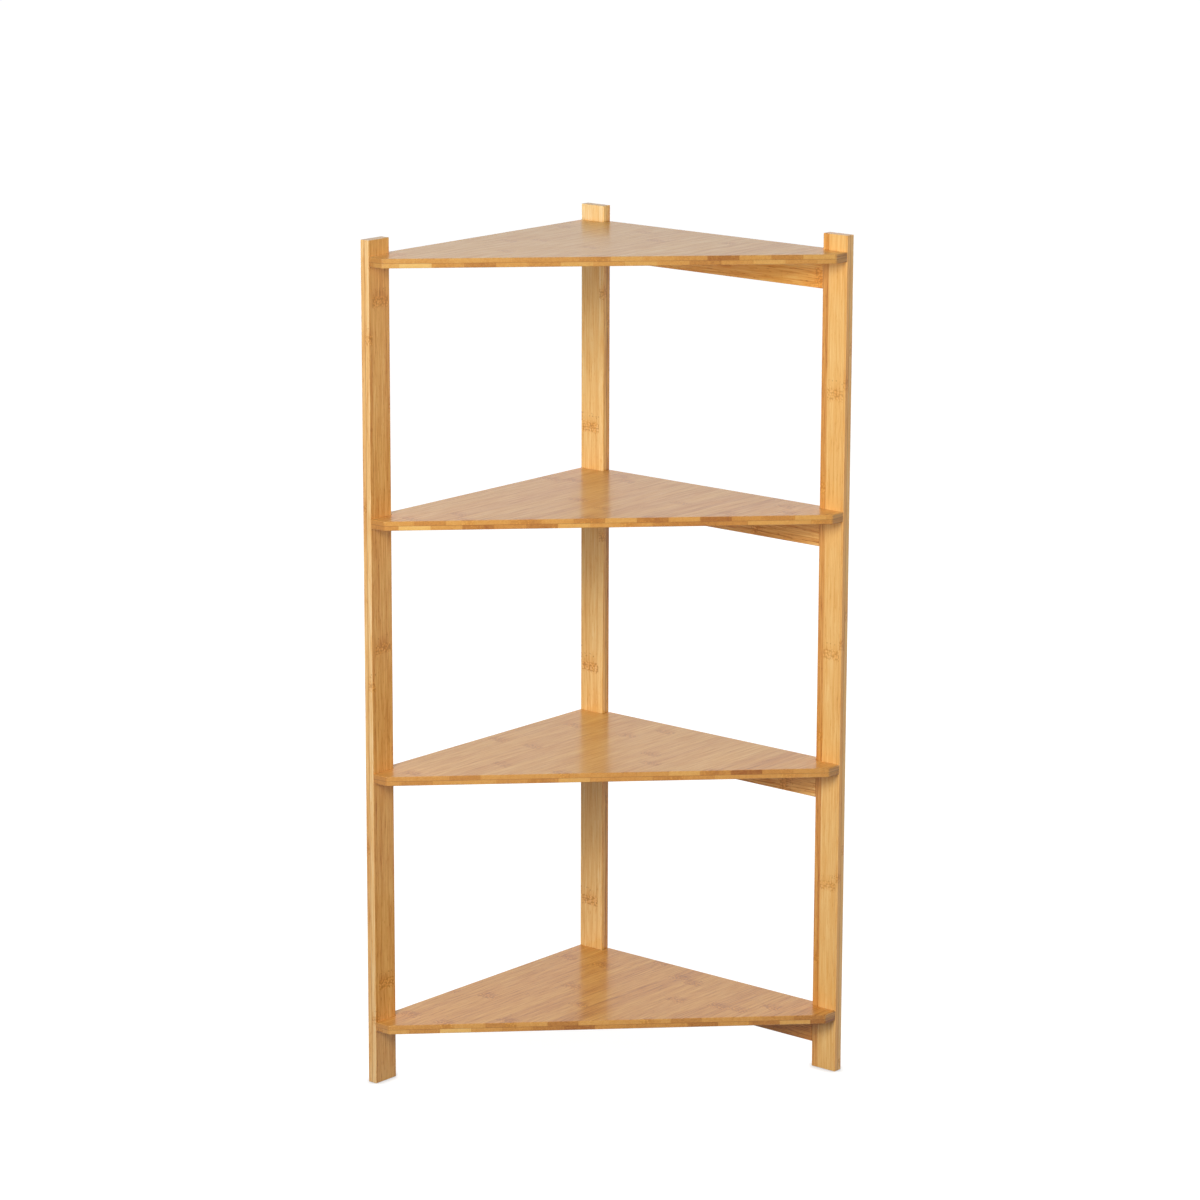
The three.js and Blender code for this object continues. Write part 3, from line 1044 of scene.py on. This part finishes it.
# %% The strips of each shelf
# Each shelf has its lower layer and its upper layer. Strip 0 lies just right of the joint given.
SHELF_LAYERS = {
    "top": (
        Layer(1.4, {-6: (1, None), -4: (-0.6, None), -2: (-0.3, None), -1: (0.3, None),
                    3: (-0.6, None), 5: (0.35, None)}),
        Layer(14.0, {-7: (0, -1), -1: (-0.35, None), 3: (-0.9, None), 5: (-0.5, None), 6: (0.3, None)}),
    ),
    "upper": (
        Layer(-0.5, {-6: (1, None), -4: (-0.7, -107), -3: (-0.3, None), -2: (-0.7, None),
                     -1: (0.5, None), 3: (-0.6, None), 4: (-0.4, None), 5: (0.3, None)}),
        Layer(10.5, {-8: (0, 95), -6: (-0.35, None), -5: (0.2, -113), -3: (-0.3, None),
                     -2: (0.1, 17), -1: (-0.4, None), 1: (-0.7, None), 3: (-0.9, None), 5: (-0.35, None)}),
    ),
    "lower": (
        Layer(0.0, {-6: (-0.3, None), -4: (0.2, None), -2: (-0.3, -68), -1: (0.5, None), 2: (-0.4, 36)}),
        Layer(11.7, {-8: (0, 10), -7: (0, 105), -6: (0, 13), -5: (-0.35, -61), -3: (0.1, 147),
                     -2: (0.1, -45), -1: (0, 69), 2: (0.4, None), 3: (-0.3, 57), 4: (-1, None),
                     5: (-0.3, None)}),
    ),
    "bottom": (
        Layer(4.0, {-6: (-0.25, None), -5: (1, None), -2: (-0.6, None), -1: (-0.9, None),
                    1: (-0.3, None), 3: (-0.7, None), 5: (-0.6, None), 7: (-0.8, None)}),
        Layer(14.5, {-8: (0, 117), -6: (-0.15, -130), -5: (0.1, 46), -4: (-0.4, -83), -3: (0.1, 5),
                     -2: (-0.6, 141), -1: (0.2, None), 3: (0, 99), 4: (0, 127), 6: (-0.6, None)}),
    ),
}
print("strips placed by hand:", sum(len(layer.marked) for pair in SHELF_LAYERS.values() for layer in pair))

# %% Shelf boards
SHELF_EASE = 0.75 * MM
CORNER_STEPS = 10
SHELF_PITCH = 250.0
SHELF_CONTRAST = 0.45
# The side tone and side hue of each shelf are partly its edges' own colour and partly painted light and
# shade.
SHELF_LOOKS = {
    "top": Look(0.47, -0.17, SHELF_CONTRAST, knuckles=0.6, fibres=1.0, hue=(1.0, 0.98, 0.9),
                side_hue_and_light=(0.88, 0.94, 0.9), coat=0.42),
    "upper": Look(0.41, -0.12, SHELF_CONTRAST, knuckles=0.7, fibres=0.85, hue=(1.0, 1.0, 0.94),
                  side_hue_and_light=(0.95, 0.97, 0.86)),
    "lower": Look(0.4, -0.12, SHELF_CONTRAST, knuckles=0.75, fibres=0.8, hue=(0.98, 1.0, 0.96),
                  side_hue_and_light=(0.96, 0.99, 0.93)),
    "bottom": Look(0.32, -0.05, SHELF_CONTRAST, knuckles=1.1, fibres=0.95, hue=(0.96, 0.96, 0.84),
                   side_hue_and_light=(1.0, 1.07, 1.1)),
}

for i, tier in enumerate(TIERS):
    node = f"{tier}_shelf"
    low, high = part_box(node)
    outline = rounded_outline(shelf_corners(node), CORNER_STEPS)
    rings = eased_rings(outline, high.z - low.z, SHELF_EASE, EASE_STEPS)
    piece = skin(f"{tier}_shelf_board", set_down(rings, (0, 1, 2), (0, 0, low.z)))
    drill(piece, [screw_drill(n) for n in names_with(f"{tier}_shelf_", "_screw_")])
    finish = board_finish(f"{tier} shelf bamboo", (low, high), (1, 0, 2), SHELF_LAYERS[tier],
                          SHELF_PITCH, FIBRE_SEEDS["shelf"] + i, SHELF_LOOKS[tier])
    dress(piece, node, finish)

# %% [markdown]
# ## Screws
#
# The shelves are screwed from behind, so the heads show only on the wall side. A head is a cone with
# a cross recess, and the thread is a ridge that climbs one pitch each turn. A Screw modifier could
# wind a thread, but its head would be a second mesh. Here both are heights over a grid of rings, so
# the whole screw is one skin.

# %% Screw heads
RECESS_REACH = 1.9 * MM
RECESS_WIDTH = 0.95 * MM
RECESS_DEPTH = 1.5 * MM
RECESS_WALL = 0.35 * MM
RECESS_FADE = 1.25


def recess(x, y):
    """Depth of the cross: full inside two crossed slots, and falling to nothing across their walls.

    The depth also shrinks outwards: times the fade less the distance from the middle over the reach.
    """

    def slot(lengthways, sideways):
        """1 inside a slot, 0 outside it, and a half on its edge."""
        inside = np.minimum(RECESS_REACH - abs(lengthways), RECESS_WIDTH / 2 - abs(sideways))
        return np.clip(inside / RECESS_WALL + 0.5, 0, 1)

    cross = np.maximum(slot(x, y), slot(y, x))
    return RECESS_DEPTH * cross * np.clip(RECESS_FADE - np.hypot(x, y) / RECESS_REACH, 0, 1)


print("recess depth in the middle, in mm:", round(float(recess(0.0, 0.0)) / MM, 2))

# %% Screw shapes
SCREW_SIDES = 40
HEAD_BEVEL = 0.1 * MM
FACE_MARGIN = 0.3 * MM
FACE_MIDDLE = 0.12 * MM
FACE_RINGS = 16
THREAD_PITCH = 1.6 * MM
THREAD_HEIGHT = 0.5 * MM
THREAD_START = 8 * MM
THREAD_STEPS = 6
THREAD_FLANK = 2.4
POINT_LENGTH = 4 * MM
POINT_BLUNT = 0.06


def screw_rings(head_radius, length):
    """Rings from the point at z = -length up to the middle of the head at z = 0.

    The thread's turn is z over the pitch less the angle's share of a circle, without whole turns. The
    ridge is 1 less the flank's steepness times the distance of that turn from a half, and no less
    than 0. Towards the point all radii shrink with the distance from it.
    """
    angle = np.linspace(0, 2 * math.pi, SCREW_SIDES, endpoint=False)
    threads = np.arange(THREAD_START, length, THREAD_PITCH / THREAD_STEPS)
    z = -np.concatenate([threads[::-1], [THREAD_START - THREAD_PITCH / 2]])
    turn = (z[:, None] / THREAD_PITCH - angle / (2 * math.pi)) % 1.0
    ridge = np.clip(1 - THREAD_FLANK * abs(turn - 0.5), 0, 1) * THREAD_HEIGHT
    ridge[-1] = THREAD_HEIGHT
    taper = np.clip((length + z) / POINT_LENGTH, POINT_BLUNT, 1)[:, None]
    thread = (SHANK_RADIUS - THREAD_HEIGHT + ridge) * taper
    radii = [thread]
    heights = [np.broadcast_to(z[:, None], thread.shape)]
    head = (
        (SHANK_RADIUS, -HEAD_RIM - (head_radius - SHANK_RADIUS)),
        (head_radius, -HEAD_RIM),
        (head_radius, -HEAD_BEVEL),
        (head_radius - HEAD_BEVEL, 0),
    )
    for radius, height in head:
        radii.append(np.full((1, SCREW_SIDES), radius))
        heights.append(np.full((1, SCREW_SIDES), height))
    face = np.linspace(head_radius - FACE_MARGIN, FACE_MIDDLE, FACE_RINGS)[:, None] * np.ones(SCREW_SIDES)
    radii.append(face)
    heights.append(-recess(face * np.cos(angle), face * np.sin(angle)))
    radius = np.concatenate(radii)
    return np.stack([radius * np.cos(angle), radius * np.sin(angle), np.concatenate(heights)], axis=2)


print("rings of a 25 mm screw:", len(screw_rings(3.5 * MM, 25 * MM)))

# %% Zinc plate
ZINC_CLOUDS_PER_METRE = 900.0
ZINC_SHADES = ((0.3, linear(188, 182, 166)), (0.7, linear(214, 211, 204)))
ZINC_ROUGHNESS = (0.26, 0.42)
ZINC_RELIEF = (0.3, 0.02 * MM)


def zinc_finish():
    """Bright zinc plate: pale metal whose roughness and tint wander a little."""
    material, web = new_finish("zinc plate")
    inputs = {0: object_place(web), "Scale": ZINC_CLOUDS_PER_METRE}
    place = web.node("ShaderNodeVectorMath", inputs, operation="SCALE").outputs[0]
    cloud = web.noise(place, detail=4.0, rough=0.6)
    web.deliver(web.node("ShaderNodeBsdfPrincipled", {
        "Base Color": web.ramp(cloud, ZINC_SHADES),
        "Metallic": 1.0,
        "Roughness": web.line(cloud, *GRAIN_RANGE, *ZINC_ROUGHNESS),
        "Normal": web.bump(cloud, *ZINC_RELIEF),
    }))
    return material


ZINC = zinc_finish()
screw_nodes = names_with("_screw_")
for node in screw_nodes:
    middle, order, radius, length, to_left_wall = screw_frame(node)
    rings = facing_out(screw_rings(radius, length), to_left_wall)
    piece = skin(f"{node}_plated", set_down(rings, order, middle))
    piece.data.materials.append(ZINC)
    piece.data.set_sharp_from_angle(angle=SHARP_ANGLE)
    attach(piece, "root")
    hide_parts(node)
print("screws:", len(screw_nodes), "faces each:", len(piece.data.polygons))

# %% [markdown]
# ## Dowels
#
# The dowels are plain chamfered pegs inside the joints. Their packed shape is right already, so they
# keep it and only get a wood finish: pale, unlacquered, with fine pores along the peg. The same
# stretched noise as in the strips makes both, along X, where all pegs lie.

# %% Dowel finish
PEG_GRAIN = (20 * MM, 1.2 * MM)
PEG_PORE = (2.5 * MM, 0.22 * MM)
PORE_STARTS = 0.62
PORE_IS_FULL = 0.72
PORE_SHARE = 0.6
PORE_BROWN = linear(140, 96, 58)
PEG_SHADES = ((0.3, linear(200, 160, 112)), (0.7, linear(226, 194, 150)))
PEG_ROUGHNESS = (0.7, 0.85)
PEG_RELIEF = (0.4, 0.05 * MM)


def peg_finish():
    """Pale hardwood: a row of colours read at the grain, and brown where the pore noise is high."""
    material, web = new_finish("dowel wood")
    x, y, z = web.parts(object_place(web))
    grain = stretched(web, x, y, z, PEG_GRAIN)
    pores = web.fade(stretched(web, x, y, z, PEG_PORE), PORE_STARTS, PORE_IS_FULL)
    colour = web.ramp(grain, PEG_SHADES)
    colour = web.mix(web.sum("MULTIPLY", pores, PORE_SHARE), colour, (*PORE_BROWN, 1))
    web.deliver(web.node("ShaderNodeBsdfPrincipled", {
        "Base Color": colour,
        "Roughness": web.line(grain, *GRAIN_RANGE, *PEG_ROUGHNESS),
        "Normal": web.bump(grain, *PEG_RELIEF),
    }))
    return material


PEG = peg_finish()
for node in names_with("_dowel_"):
    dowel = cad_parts[node]
    dowel.data.materials.clear()
    dowel.data.materials.append(PEG)
print("dowels:", len(names_with("_dowel_")))

# %% [markdown]
# ## Floor, world and lights
#
# The photograph is of a lit object on pure white. The floor and the world are white to the camera and
# to reflections, and give hardly any light. Soft lamps do that. A floor that glows hides most of the
# shadow on it, and a thin shadow right at the feet is what makes them stand on something. So the glow
# drops there, by the share of the air around a point that the feet leave open.

# %% Floor
FLOOR_SIZE = 60.0
FLOOR_GLOW = 0.95
GLOW_NEAR = 0.5
GLOW_FAR = 2.0
FLOOR_SHADE = 0.28
FLOOR_BOUNCE = 0.26
CONTACT_REACH = 12 * MM
CONTACT_OPENNESS = 0.4
CONTACT_GLOW = 0.4
CONTACT_SAMPLES = 8


def seen_directly(web):
    """1 for what the camera, a reflection or clear glass sees, and 0 for light that falls on things."""
    path = web.node("ShaderNodeLightPath", {}).outputs
    mirror = web.sum("MAXIMUM", path["Is Glossy Ray"], path["Is Transmission Ray"])
    return web.sum("MAXIMUM", path["Is Camera Ray"], mirror)


def grey_paper(web, light):
    """A matt surface that sends back the given share of the light that falls on it."""
    return web.node("ShaderNodeBsdfDiffuse", {"Color": (light, light, light, 1)}).outputs[0]


def floor_finish():
    """White paper: a glow that only the camera and reflections see, over a matt surface that takes shadow.

    The glow is full white away from the unit, where the lamps no longer reach. Right beside the feet it
    drops in a straight line with the openness of the air around a point.
    """
    material, web = new_finish("white floor")
    seen = seen_directly(web)
    away = web.node("ShaderNodeVectorMath", {0: object_place(web)}, operation="LENGTH").outputs["Value"]
    strength = web.fade(away, GLOW_NEAR, GLOW_FAR, FLOOR_GLOW, 1.0)
    around = web.node("ShaderNodeAmbientOcclusion", {"Distance": CONTACT_REACH}, samples=CONTACT_SAMPLES)
    contact = web.line(around.outputs["AO"], CONTACT_OPENNESS, 1.0, CONTACT_GLOW, 1.0)
    strength = web.sum("MULTIPLY", strength, contact)
    glow = web.node("ShaderNodeEmission", {"Color": (1, 1, 1, 1), "Strength": strength}).outputs[0]
    bright = web.node("ShaderNodeAddShader", {0: grey_paper(web, FLOOR_SHADE), 1: glow}).outputs[0]
    web.deliver(web.node("ShaderNodeMixShader", {0: seen, 1: grey_paper(web, FLOOR_BOUNCE), 2: bright}))
    return material


half = FLOOR_SIZE / 2
floor_corners = [(-half, -half, 0), (half, -half, 0), (half, half, 0), (-half, half, 0)]
floor_mesh = bpy.data.meshes.new("floor")
floor_mesh.from_pydata(floor_corners, [], [(0, 1, 2, 3)])
floor = bpy.data.objects.new("floor", floor_mesh)
scene.collection.objects.link(floor)
floor_mesh.materials.append(floor_finish())
print("shadow at the feet reaches, in mm:", CONTACT_REACH / MM)

# %% World
ROOM_LIGHT = 0.08

world = bpy.data.worlds.new("studio")
scene.world = world
air = empty_web(world)
strength = air.sum("MAXIMUM", seen_directly(air), ROOM_LIGHT)
backdrop = air.node("ShaderNodeBackground", {"Color": (1, 1, 1, 1), "Strength": strength})
air.deliver(backdrop, "ShaderNodeOutputWorld")
scene.view_settings.view_transform = "Standard"
print("world light on things that the camera doesn't see directly:", ROOM_LIGHT)

# %% [markdown]
# ## Lamps
#
# Two soft lamps stand one above the other on the camera's left: the high one makes each shelf throw a
# shadow on the posts below it, and the low one reaches in under the shelves. A weak lamp on the right
# fills the faces that are turned that way. Behind the unit, one lamp high up is for the shelf tops,
# and two at the sides are for the wall faces. A picture of a studio could light the unit as well, but
# lamps can be moved one by one until each face is right.


# %% Lamps
def soft_lamp(name, azimuth, height, distance, size, power):
    """A square lamp that faces the middle of the unit from an azimuth in degrees, seen from above."""
    data = bpy.data.lights.new(name, "AREA")
    data.shape = "SQUARE"
    data.size = size
    data.energy = power
    lamp = bpy.data.objects.new(name, data)
    scene.collection.objects.link(lamp)
    angle = math.radians(azimuth)
    lamp.location = (math.sin(angle) * distance, -math.cos(angle) * distance, height)
    aim = Vector((0, 0, AIM_HEIGHT)) - lamp.location
    lamp.rotation_euler = aim.to_track_quat("-Z", "Y").to_euler()
    return lamp


soft_lamp("high key", azimuth=20, height=1.8, distance=2.1, size=0.8, power=31)
soft_lamp("low key", azimuth=20, height=1.1, distance=2.1, size=0.8, power=24)
soft_lamp("fill", azimuth=100, height=0.9, distance=3.0, size=2.0, power=11)
soft_lamp("behind", azimuth=220, height=3.6, distance=2.8, size=4.0, power=17)
soft_lamp("right wall", azimuth=175, height=0.8, distance=2.6, size=1.0, power=19)
soft_lamp("left wall", azimuth=265, height=0.8, distance=2.6, size=1.0, power=19)

# %% [markdown]
# ## Size
#
# The dressed model has to fill the same box as the packed one.
